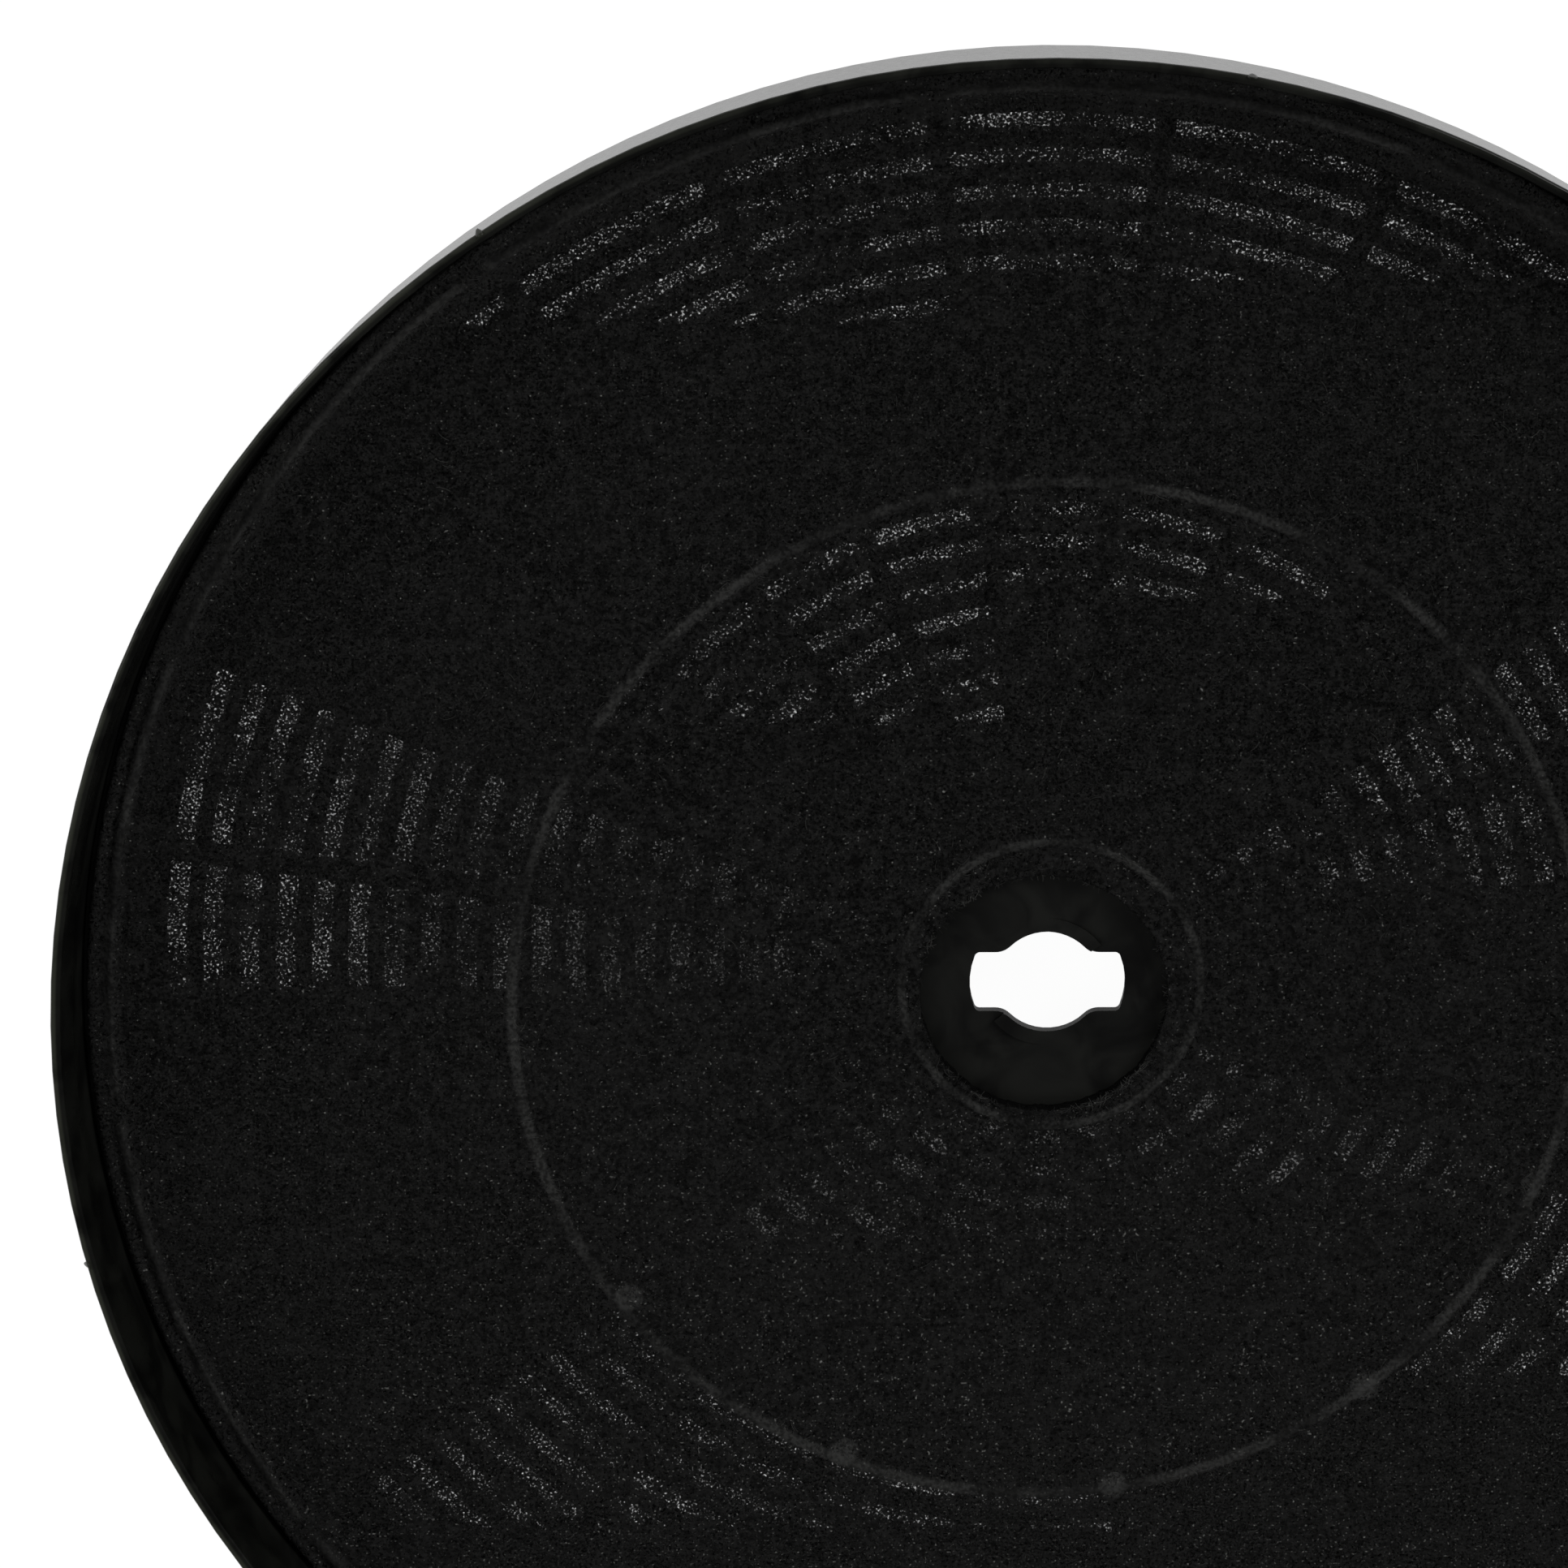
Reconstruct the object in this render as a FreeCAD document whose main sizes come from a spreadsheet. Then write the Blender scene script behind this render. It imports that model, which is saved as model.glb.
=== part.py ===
"""Round carbon filter cartridge for a cooker hood.

A moulded tray with a slotted floor is divided by two ring walls and by radial walls into twelve
chambers. Each chamber holds a bed of carbon granules, and a disc of felt welded over the ring
walls closes them all. The hub has a plate with a winged bayonet hole.

Millimetres. The origin is at the centre of the floor's underside, +Z points out of the open face
and +X lies along the wings of the bayonet hole.
"""
import FreeCAD, Part
import math
import os
import Sketcher

Vec = FreeCAD.Vector

doc = FreeCAD.newDocument("carbon_filter")
sheet = doc.addObject("Spreadsheet::Sheet", "Sizes")

SIZES = [
    # Tray: a drafted rim wall stands on a ledge, and a straight drum hangs below the ledge.
    ("rim_radius", 105.0),
    ("tray_height", 23.5),
    ("rim_wall", 1.1),
    ("rim_draft", 9.3),
    ("rim_round", 0.35),
    ("ledge_level", 11.1),
    ("ledge_thick", 1.3),
    ("ledge_width", 5.4),
    ("drum_wall", 1.4),
    ("drum_foot_round", 1.3),
    ("ledge_round", 0.6),
    ("floor_thick", 2.0),
    # Ring walls that stand on the floor and carry the felt.
    ("middle_share", 0.5381),
    ("middle_wall", 1.3),
    ("hub_radius", 16.8),
    ("hub_wall", 1.4),
    ("hub_height", 9.2),
    ("hub_plate_thick", 1.2),
    # Radial walls and the weld posts on the middle ring.
    ("chambers", 6),
    ("chamber_first_angle", 37.5),
    ("radial_wall", 1.3),
    ("radial_wall_gap", 0.3),
    ("posts", 12),
    ("post_first_angle", 7.5),
    ("post_radius", 1.55),
    # Slotted floor: rows of slots share the room between the lands beside the ring walls.
    ("bar_width", 1.9),
    ("bars_per_chamber", 4),
    ("outer_rows", 10),
    ("outer_slot_share", 0.5455),
    ("outer_land", 4.75),
    ("middle_land", 0.2),
    ("inner_rows", 10),
    ("inner_slot_share", 0.5676),
    ("inner_land", 0.45),
    ("hub_land", 2.55),
    # Bayonet hole with its two ramps.
    ("bayonet_radius", 5.56),
    ("wing_reach", 8.22),
    ("wing_width", 6.56),
    ("wing_fillet", 2.2),
    ("wing_corner", 0.6),
    ("ramp_width", 1.5),
    ("ramp_height", 0.5),
    ("ramp_sink", 0.5),
    ("ramp_from", 217.0),
    ("ramp_sweep", 52.0),
    # Felt.
    ("felt_thick", 2.0),
    ("felt_gap", 0.3),
    ("felt_hole_radius", 12.95),
    ("felt_lip_drop", 0.4),
    ("bead_width", 1.5),
    ("bead_height", 0.35),
    ("bead_groove", 0.3),
    # Carbon beds, settled towards -Y.
    ("bed_gap", 0.3),
    ("bed_headroom", 0.5),
]
for row, (name, value) in enumerate(SIZES, start=1):
    sheet.set(f"A{row}", name)
    sheet.set(f"B{row}", str(value))
    sheet.setAlias(f"B{row}", name)
doc.recompute()
v = {name: float(sheet.get(name)) for name, _ in SIZES}

# Level of the carbon in each chamber, along Y, as the granules lie after the filter hung upright:
# a share of the radius inside the drum or inside the middle ring.
OUTER_LEVELS = [0.770, 0.724, -0.0255, -0.651, -0.4745, 0.2546]
INNER_LEVELS = [0.7355, 0.489, -0.058, -0.565, -0.449, 0.152]


def bind(obj, prop, text):
    """Set a property from the sheet; every word that is a size's name becomes a cell."""
    for name in sorted(v, key=len, reverse=True):
        text = text.replace(f"[{name}]", f"Sizes.{name}")
    obj.setExpression(prop, text)


def cylinder(name, radius, height, level="0"):
    obj = doc.addObject("Part::Cylinder", name)
    bind(obj, "Radius", radius)
    bind(obj, "Height", height)
    bind(obj, "Placement.Base.z", level)
    return obj


def box(name, length, width, height, at):
    obj = doc.addObject("Part::Box", name)
    for prop, text in zip(("Length", "Width", "Height"), (length, width, height)):
        bind(obj, prop, text)
    for axis, text in zip("xyz", at):
        bind(obj, f"Placement.Base.{axis}", text)
    return obj


def cut(name, base, tool):
    obj = doc.addObject("Part::Cut", name)
    obj.Base, obj.Tool = base, tool
    return obj


def fuse(name, shapes):
    obj = doc.addObject("Part::MultiFuse", name)
    obj.Shapes = shapes
    return obj


def turned(name, points):
    """Body turned about Z from a closed profile of (radius, height) expressions."""
    body = doc.addObject("PartDesign::Body", name)
    sketch = body.newObject("Sketcher::SketchObject", name + "_profile")
    plane = [f for f in body.Origin.OriginFeatures if f.Role == "XZ_Plane"][0]
    sketch.AttachmentSupport = (plane, [""])
    sketch.MapMode = "FlatFace"
    probe = doc.addObject("Spreadsheet::Sheet", name + "_points")
    for i, (r, z) in enumerate(points, start=1):
        for column, text in zip("AB", (r, z)):
            for size in sorted(v, key=len, reverse=True):
                text = text.replace(f"[{size}]", f"Sizes.{size}")
            probe.set(f"{column}{i}", "=" + text)
    probe.recompute()
    where = []
    for i in range(1, len(points) + 1):
        where.append(Vec(float(probe.get(f"A{i}")), float(probe.get(f"B{i}")), 0))
    count = len(where)
    for i in range(count):
        sketch.addGeometry(Part.LineSegment(where[i], where[(i + 1) % count]), False)
    for i in range(count):
        sketch.addConstraint(Sketcher.Constraint("Coincident", i, 2, (i + 1) % count, 1))
    for i, p in enumerate(where):
        c = sketch.addConstraint(Sketcher.Constraint("DistanceX", -1, 1, i, 1, p.x))
        sketch.setExpression(f"Constraints[{c}]", f"{probe.Name}.A{i + 1}")
        if abs(p.y) < 1e-9:
            sketch.addConstraint(Sketcher.Constraint("PointOnObject", i, 1, -1))
            continue
        c = sketch.addConstraint(Sketcher.Constraint("DistanceY", -1, 1, i, 1, p.y))
        sketch.setExpression(f"Constraints[{c}]", f"{probe.Name}.B{i + 1}")
    turn = body.newObject("PartDesign::Revolution", name + "_turn")
    turn.Profile = sketch
    turn.ReferenceAxis = (sketch, ["V_Axis"])
    turn.Angle = 360.0
    body.Tip = turn
    return body


def edges_at(shape, radius, level):
    """Numbers of the circular edges with this radius at this height."""
    found = []
    for number, edge in enumerate(shape.Edges, start=1):
        curve = edge.Curve
        if isinstance(curve, Part.Circle) and abs(curve.Radius - radius) < 0.02:
            if abs(curve.Center.z - level) < 0.02:
                found.append(number)
    return found


def polar(radius, degrees, z=0.0):
    a = math.radians(degrees)
    return Vec(radius * math.cos(a), radius * math.sin(a), z)


def sector_wire(r_in, r_out, start, stop, inset, z=0.0):
    """Closed wire of a ring sector whose ends run parallel to the radial lines, set in by inset."""
    a_in = math.degrees(math.asin(inset / r_in))
    a_out = math.degrees(math.asin(inset / r_out))
    middle = (start + stop) / 2
    p1, p2 = polar(r_in, start + a_in, z), polar(r_in, stop - a_in, z)
    p3, p4 = polar(r_out, stop - a_out, z), polar(r_out, start + a_out, z)
    return Part.Wire([
        Part.Arc(p1, polar(r_in, middle, z), p2).toShape(),
        Part.LineSegment(p2, p3).toShape(),
        Part.Arc(p3, polar(r_out, middle, z), p4).toShape(),
        Part.LineSegment(p4, p1).toShape(),
    ])


# The tray's wall: drum, ledge and drafted rim in one turned section.
DRAFT = "tan([rim_draft] * 1deg)"
LEDGE_UNDER = "([ledge_level] - [ledge_thick])"
DRUM_OUTSIDE = "([rim_radius] - [ledge_width])"
RIM_INSIDE = "([rim_radius] - [rim_wall])"
wall = turned("tray_wall", [
    (f"{DRUM_OUTSIDE} - [drum_wall]", "0"),
    (DRUM_OUTSIDE, "0"),
    (DRUM_OUTSIDE, LEDGE_UNDER),
    (f"[rim_radius] - ([tray_height] - {LEDGE_UNDER}) * {DRAFT}", LEDGE_UNDER),
    ("[rim_radius]", "[tray_height]"),
    (RIM_INSIDE, "[tray_height]"),
    (f"{RIM_INSIDE} - ([tray_height] - [ledge_level]) * {DRAFT}", "[ledge_level]"),
    (f"{DRUM_OUTSIDE} - [drum_wall]", "[ledge_level]"),
])
doc.recompute()

drum_radius = v["rim_radius"] - v["ledge_width"]
ledge_under = v["ledge_level"] - v["ledge_thick"]
draft = math.tan(math.radians(v["rim_draft"]))
ledge_edge = v["rim_radius"] - (v["tray_height"] - ledge_under) * draft
rounded = doc.addObject("Part::Fillet", "tray_wall_rounded")
rounded.Base = wall
rounds = []
for radius, level, size in (
    (drum_radius, 0.0, v["drum_foot_round"]),
    (ledge_edge, ledge_under, v["ledge_round"]),
    (v["rim_radius"], v["tray_height"], v["rim_round"]),
    (v["rim_radius"] - v["rim_wall"], v["tray_height"], v["rim_round"]),
):
    rounds += [(number, size, size) for number in edges_at(wall.Shape, radius, level)]
rounded.Edges = rounds

# The middle ring wall and the hub's tube with its plate.
MIDDLE_OUTSIDE = "([rim_radius] * [middle_share])"
middle = cut(
    "middle_ring",
    cylinder("middle_outside", MIDDLE_OUTSIDE, "[ledge_level]"),
    cylinder("middle_inside", f"{MIDDLE_OUTSIDE} - [middle_wall]", "[ledge_level]"),
)
hub = cut(
    "hub_shell",
    cylinder("hub_outside", "[hub_radius]", "[hub_height]"),
    cylinder("hub_recess", "[hub_radius] - [hub_wall]", "[hub_height] - [hub_plate_thick]"),
)

# Radial walls: their tops stay just below the felt, which slopes down from middle ring to hub.
drum_inside = drum_radius - v["drum_wall"]
drum_centre = drum_radius - v["drum_wall"] / 2
middle_radius = v["rim_radius"] * v["middle_share"]
middle_inside = middle_radius - v["middle_wall"]
middle_centre = middle_radius - v["middle_wall"] / 2
hub_centre = v["hub_radius"] - v["hub_wall"] / 2
outer_top = v["ledge_level"] - v["radial_wall_gap"]
inner_top = v["hub_height"] - v["radial_wall_gap"]
chamber_step = 360.0 / v["chambers"]


def standing_wall(points, thickness):
    corners = [Vec(r, -thickness / 2, z) for r, z in points]
    face = Part.Face(Part.makePolygon(corners + corners[:1]))
    return face.extrude(Vec(0, thickness, 0))


plates = []
for k in range(int(v["chambers"])):
    for points in (
        [(middle_centre, 0), (drum_centre, 0), (drum_centre, outer_top),
         (middle_centre, outer_top)],
        [(hub_centre, 0), (middle_centre, 0), (middle_centre, outer_top),
         (v["hub_radius"], inner_top), (hub_centre, inner_top)],
    ):
        plate = standing_wall(points, v["radial_wall"])
        plate.rotate(Vec(0, 0, 0), Vec(0, 0, 1), v["chamber_first_angle"] + k * chamber_step)
        plates.append(plate)
radial = doc.addObject("Part::Feature", "radial_walls")
radial.Shape = plates[0].multiFuse(plates[1:])

posts = doc.addObject("Part::Feature", "weld_posts")
posts.Shape = Part.makeCompound([
    Part.makeCylinder(
        v["post_radius"], v["ledge_level"],
        polar(middle_centre, v["post_first_angle"] + k * 360.0 / v["posts"]),
    )
    for k in range(int(v["posts"]))
])

# Each chamber's floor: a plate between the walls, with rows of curved slots parted by bars.
def slot_rows(outermost, innermost, count, share):
    """(Radius, half width) of each row, whose slots take a share of the pitch."""
    pitch = (outermost - innermost) / (count - 1 + share)
    half_slot = share * pitch / 2
    return [(outermost - half_slot - k * pitch, half_slot) for k in range(int(count))]


zones = {
    "outer": (middle_radius, drum_inside, slot_rows(
        drum_inside - v["outer_land"], middle_radius + v["middle_land"],
        v["outer_rows"], v["outer_slot_share"])),
    "inner": (v["hub_radius"], middle_inside, slot_rows(
        middle_inside - v["inner_land"], v["hub_radius"] + v["hub_land"],
        v["inner_rows"], v["inner_slot_share"])),
}
bar_step = chamber_step / v["bars_per_chamber"]
floors = []
for r_in, r_out, rows in zones.values():
    wires = [sector_wire(r_in, r_out, 0, chamber_step, v["radial_wall"] / 2)]
    for radius, half_slot in rows:
        for k in range(int(v["bars_per_chamber"])):
            wires.append(sector_wire(
                radius - half_slot, radius + half_slot, k * bar_step, (k + 1) * bar_step,
                v["bar_width"] / 2,
            ))
    plate = Part.Face(wires, "Part::FaceMakerBullseye").extrude(Vec(0, 0, v["floor_thick"]))
    for k in range(int(v["chambers"])):
        turned_plate = plate.copy()
        turned_plate.rotate(
            Vec(0, 0, 0), Vec(0, 0, 1), v["chamber_first_angle"] + k * chamber_step)
        floors.append(turned_plate)
grille = doc.addObject("Part::Feature", "slotted_floors")
grille.Shape = Part.makeCompound(floors)

# The bayonet hole: a round hole with two wings, and a ramp behind each wing on the plate.
plate_under = "[hub_height] - [hub_plate_thick]"
round_hole = cylinder("bayonet_round", "[bayonet_radius]", "[hub_height]", plate_under)
wing_disc = cylinder("wing_disc", "[wing_reach]", "[hub_height]", plate_under)
wing_bar = box(
    "wing_bar", "2 * [wing_reach]", "[wing_width]", "[hub_height]",
    ("-[wing_reach]", "-[wing_width] / 2", plate_under),
)
wings = doc.addObject("Part::Common", "wings")
wings.Base, wings.Tool = wing_disc, wing_bar
hole = fuse("bayonet_sharp", [round_hole, wings])
doc.recompute()
corners = []
for number, edge in enumerate(hole.Shape.Edges, start=1):
    a, b = edge.Vertexes[0].Point, edge.Vertexes[-1].Point
    if (b - a).Length < 0.1 or math.hypot(b.x - a.x, b.y - a.y) > 0.001:
        continue
    for radius, size in (("bayonet_radius", "wing_fillet"), ("wing_reach", "wing_corner")):
        if abs(math.hypot(a.x, a.y) - v[radius]) < 0.01:
            corners.append((number, v[size], v[size]))
bayonet = doc.addObject("Part::Fillet", "bayonet_hole")
bayonet.Base = hole
bayonet.Edges = corners

# Each ramp is highest beside its wing and runs out into the plate at its other end.
ramps = doc.addObject("Part::Feature", "bayonet_ramps")
ramp_parts = []
ramp_in = v["bayonet_radius"] - v["ramp_sink"]
ramp_out = v["bayonet_radius"] + v["ramp_width"]
ramp_run = ramp_out * math.sin(math.radians(v["ramp_sweep"]))
for turn in (0.0, 180.0):
    start, end = v["ramp_from"] + turn, v["ramp_from"] + turn + v["ramp_sweep"]
    wire = sector_wire(ramp_in, ramp_out, start, end, 0.0, v["hub_height"] - v["ramp_sink"])
    block = Part.Face(wire).extrude(Vec(0, 0, v["ramp_sink"] + v["ramp_height"]))
    lid = Part.makeBox(4 * ramp_out, 4 * ramp_out, ramp_out,
                       Vec(-2 * ramp_out, -2 * ramp_out, v["hub_height"]))
    lid.rotate(Vec(0, 0, v["hub_height"]), polar(1, end),
               -math.degrees(math.atan2(v["ramp_height"], ramp_run)))
    ramp_parts.append(block.cut(lid))
ramps.Shape = Part.makeCompound(ramp_parts)

skeleton = fuse("tray_skeleton", [rounded, middle, hub, radial, posts, ramps])
pierced = cut("tray_pierced", skeleton, bayonet)
tray = fuse("housing_tray", [pierced, grille])
tray.Refine = False
tray.Label = "housing_tray"

# The felt: one disc over ledge, middle ring and hub, with a welded bead over each of the three.
FELT_TOP = "([ledge_level] + [felt_thick])"
HUB_TOP = "([hub_height] + [felt_thick])"
HALF_BEAD = "([bead_width] / 2)"
FELT_EDGE = f"({RIM_INSIDE} - ([tray_height] - [ledge_level]) * {DRAFT} - [felt_gap])"


def bead(centre, level):
    """Points across a bead from outside to inside: groove, crest, groove."""
    out = f"({centre} + {HALF_BEAD})"
    inn = f"({centre} - {HALF_BEAD})"
    return [
        (f"{out} + 2 * [bead_groove]", level),
        (f"{out} + [bead_groove]", f"{level} - [bead_groove]"),
        (f"{out} - [bead_groove]", f"{level} + [bead_height]"),
        (f"{inn} + [bead_groove]", f"{level} + [bead_height]"),
        (f"{inn} - [bead_groove]", f"{level} - [bead_groove]"),
        (f"{inn} - 2 * [bead_groove]", level),
    ]


DRUM_MIDDLE = f"({DRUM_OUTSIDE} - [drum_wall] / 2)"
MIDDLE_MIDDLE = f"({MIDDLE_OUTSIDE} - [middle_wall] / 2)"
HUB_MIDDLE = "([hub_radius] - [hub_wall] / 2)"
felt = turned("felt_cover", [
    ("[felt_hole_radius]", "[hub_height]"),
    ("[hub_radius]", "[hub_height]"),
    (f"{MIDDLE_OUTSIDE} - [middle_wall]", "[ledge_level]"),
    (FELT_EDGE, "[ledge_level]"),
    (FELT_EDGE, FELT_TOP),
] + bead(DRUM_MIDDLE, FELT_TOP) + bead(MIDDLE_MIDDLE, FELT_TOP) + bead(HUB_MIDDLE, HUB_TOP) + [
    ("[felt_hole_radius]", f"{HUB_TOP} - [felt_lip_drop]"),
])

# Carbon beds: one per chamber, filling it up to its level.
bed_inset = v["radial_wall"] / 2 + v["bed_gap"]
bed_zones = {
    "outer": (middle_radius + v["bed_gap"], drum_inside,
              v["ledge_level"] - v["bed_headroom"], OUTER_LEVELS),
    "inner": (v["hub_radius"] + v["bed_gap"], middle_inside,
              v["hub_height"] - v["bed_headroom"], INNER_LEVELS),
}
beds = []
reach = v["rim_radius"]
for zone, (r_in, r_full, top, levels) in bed_zones.items():
    r_out = r_full - v["bed_gap"]
    for k in range(int(v["chambers"])):
        start = v["chamber_first_angle"] + k * chamber_step
        wire = sector_wire(r_in, r_out, start, start + chamber_step, bed_inset, v["floor_thick"])
        chamber = Part.Face(wire).extrude(Vec(0, 0, top - v["floor_thick"]))
        for post in range(int(v["posts"])):
            at = polar(middle_centre, v["post_first_angle"] + post * 360.0 / v["posts"])
            chamber = chamber.cut(Part.makeCylinder(
                v["post_radius"] + v["bed_gap"], v["tray_height"], at))
        level = levels[k % len(levels)] * r_full
        below = Part.makeBox(2 * reach, reach + level, v["tray_height"], Vec(-reach, -reach, 0))
        bed = doc.addObject("Part::Feature", f"carbon_bed_{zone}_{k + 1}")
        bed.Label = f"carbon_bed_{zone}_{k + 1}"
        bed.Shape = chamber.common(below).removeSplitter()
        beds.append(bed)

doc.recompute()

kept = [tray, felt] + beds
for obj in doc.Objects:
    if "Invalid" in obj.State or "Error" in obj.State:
        raise RuntimeError(f"{obj.Name} did not compute: {obj.State}")
for obj in kept:
    if obj.Shape.isNull() or not obj.Shape.isValid():
        raise RuntimeError(f"{obj.Label} has no valid shape")
    if len(obj.Shape.Solids) != 1:
        raise RuntimeError(f"{obj.Label} has {len(obj.Shape.Solids)} solids")

os.makedirs("parts", exist_ok=True)
for obj in kept:
    obj.Shape.exportStep(f"parts/{obj.Label}.step")
    print(obj.Label, round(obj.Shape.Volume / 1000, 2), "cm3")
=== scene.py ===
import math
import random

import bmesh
import bpy
from mathutils import Matrix, Vector, noise


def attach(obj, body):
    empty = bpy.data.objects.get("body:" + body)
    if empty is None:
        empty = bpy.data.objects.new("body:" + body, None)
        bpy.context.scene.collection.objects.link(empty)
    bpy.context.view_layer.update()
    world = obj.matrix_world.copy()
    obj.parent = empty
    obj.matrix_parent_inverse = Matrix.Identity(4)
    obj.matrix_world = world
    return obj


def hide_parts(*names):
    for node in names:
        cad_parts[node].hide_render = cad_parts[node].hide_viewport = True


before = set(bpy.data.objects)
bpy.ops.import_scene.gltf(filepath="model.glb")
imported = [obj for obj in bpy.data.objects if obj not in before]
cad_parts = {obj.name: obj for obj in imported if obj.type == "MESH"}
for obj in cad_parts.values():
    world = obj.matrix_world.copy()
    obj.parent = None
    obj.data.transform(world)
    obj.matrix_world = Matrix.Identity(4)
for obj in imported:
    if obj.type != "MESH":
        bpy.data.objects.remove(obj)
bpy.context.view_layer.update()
scene = bpy.context.scene
MM = 0.001
TO_MM = 1000.0

# ---------------------------------------------------------------------------------------------
# Housing tray. One moulding of black polypropylene with a satin skin: slotted floor, ring walls,
# radial walls, hub plate with the bayonet hole, and the drafted rim that stands round the felt.
# ---------------------------------------------------------------------------------------------
class Wire:
    """One output in a material's nodes; arithmetic on it adds the Math nodes."""

    def __init__(self, mat, socket):
        self.mat = mat
        self.socket = socket

    def calc(self, operation, *others):
        node = self.mat.tree.nodes.new("ShaderNodeMath")
        node.operation = operation
        for slot, value in zip(node.inputs, (self,) + others):
            self.mat.feed(slot, value)
        return Wire(self.mat, node.outputs[0])

    def __add__(self, other):
        return self.calc("ADD", other)

    __radd__ = __add__

    def __sub__(self, other):
        return self.calc("SUBTRACT", other)

    def __rsub__(self, other):
        return (self * -1.0) + other

    def __mul__(self, other):
        return self.calc("MULTIPLY", other)

    __rmul__ = __mul__

    def __truediv__(self, other):
        return self.calc("DIVIDE", other)

    def __pow__(self, other):
        return self.calc("POWER", other)

    def ramp(self, low, high):
        """0 below low, 1 above high, smooth between."""
        return self.mat.node("MapRange", {"interpolation_type": "SMOOTHSTEP"},
                             {"Value": self, "From Min": low, "From Max": high})

    def near(self, centre, width):
        """1 at centre, falling to 0 at width from it."""
        return 1.0 - (self - centre).calc("ABSOLUTE").ramp(width * 0.35, width)


class Finish:
    """A material whose Principled shader is fed by name."""

    def __init__(self, name, **fixed):
        self.material = bpy.data.materials.new(name)
        self.material.use_nodes = True
        self.tree = self.material.node_tree
        self.tree.nodes.clear()
        self.out = self.tree.nodes.new("ShaderNodeOutputMaterial")
        self.skin = self.tree.nodes.new("ShaderNodeBsdfPrincipled")
        self.tree.links.new(self.skin.outputs[0], self.out.inputs[0])
        for socket, value in fixed.items():
            self.skin.inputs[socket.replace("_", " ")].default_value = value
        self.place = self.node("TexCoord", out="Object")

    def feed(self, slot, value):
        if isinstance(value, Wire):
            self.tree.links.new(value.socket, slot)
        else:
            slot.default_value = value

    def node(self, kind, settings=None, values=None, out=0):
        made = self.tree.nodes.new("ShaderNode" + kind)
        for key, value in (settings or {}).items():
            setattr(made, key, value)
        for key, value in (values or {}).items():
            self.feed(made.inputs[key], value)
        return Wire(self, made.outputs[out])

    def grain(self, size, detail=2.0, stretch=None, rough=0.5, kind="FBM", distort=0.0):
        """Noise about 0.5 whose lumps are about size across, in metres."""
        at = self.place
        if stretch:
            at = self.node("Mapping", None, {"Vector": at, "Scale": stretch})
        return self.node("TexNoise", {"noise_type": kind}, {
            "Vector": at, "Scale": 0.55 / size, "Detail": detail, "Roughness": rough,
            "Distortion": distort})

    def cells(self, size):
        """A random colour for each cell about size across, in metres."""
        return self.node("TexVoronoi", None, {
            "Vector": self.place, "Scale": 1.0 / size}, "Color")

    def blend(self, factor, first, second):
        """Mix of two colours, which a Mix node takes at its inputs 6 and 7."""
        made = self.tree.nodes.new("ShaderNodeMix")
        made.data_type = "RGBA"
        for index, value in ((0, factor), (6, first), (7, second)):
            self.feed(made.inputs[index], value)
        return Wire(self, made.outputs[2])

    def bump(self, height, strength, distance):
        return self.node("Bump", None, {
            "Height": height, "Strength": strength, "Distance": distance})

    def axes(self):
        """Object x, y and z."""
        split = self.tree.nodes.new("ShaderNodeSeparateXYZ")
        self.feed(split.inputs[0], self.place)
        return [Wire(self, output) for output in split.outputs]

    def set(self, **wires):
        for socket, wire in wires.items():
            self.feed(self.skin.inputs[socket.replace("_", " ")], wire)


PLASTIC_DARK = (0.0014, 0.0015, 0.0012, 1)
PLASTIC_PALE = (0.0080, 0.0084, 0.0069, 1)
# Colour of the painted highlight on the lip.
PLASTIC_LIP_HIGHLIGHT = (0.0250, 0.0270, 0.0200, 1)
PLASTIC_SCUFF = (0.022, 0.023, 0.019, 1)
RIM_SIDE = 102.3
LIP_HIGHLIGHT_FROM = 104.25
LIP_LEVELS = (22.6, 23.1)

plastic = Finish("black_polypropylene", Specular_IOR_Level=0.24)
x, y, z = plastic.axes()
radius = (x * x + y * y) ** 0.5 * TO_MM
outside = radius.ramp(RIM_SIDE, RIM_SIDE + 0.6)
flow = plastic.grain(0.0036, 4.0, distort=1.0)
# Painted highlight on the rounded lip, stronger towards -X where the light catches it.
lip_light_towards_minus_x = (x * -1.0).ramp(0.01, 0.08) * 0.75 + 0.25
lip = radius.ramp(LIP_HIGHLIGHT_FROM, LIP_HIGHLIGHT_FROM + 0.35) * (z * TO_MM).ramp(*LIP_LEVELS)
skin_grain = plastic.grain(0.00035, 2.0)
drag = plastic.grain(0.0028, 4.0, stretch=(1.0, 1.0, 0.12))
scratch = plastic.grain(0.0011, 3.0, kind="RIDGED_MULTIFRACTAL", distort=0.6).ramp(0.93, 1.12)
colour = plastic.blend(flow.ramp(0.30, 0.70), PLASTIC_DARK, PLASTIC_PALE)
colour = plastic.blend(scratch * 0.35, colour, PLASTIC_SCUFF)
# Painted highlight along the lip, mottled by the flow noise.
colour = plastic.blend(lip * lip_light_towards_minus_x * flow.ramp(0.25, 0.55), colour, PLASTIC_LIP_HIGHLIGHT)
plastic.set(
    Base_Color=colour,
    Roughness=0.46 - 0.24 * outside + 0.14 * drag * (1.0 - outside) + 0.08 * skin_grain,
    Normal=plastic.bump(skin_grain * 0.7 + drag * 0.5, 0.18, 0.00006),
)
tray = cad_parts["housing_tray"]
tray.data.materials.clear()
tray.data.materials.append(plastic.material)

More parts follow.
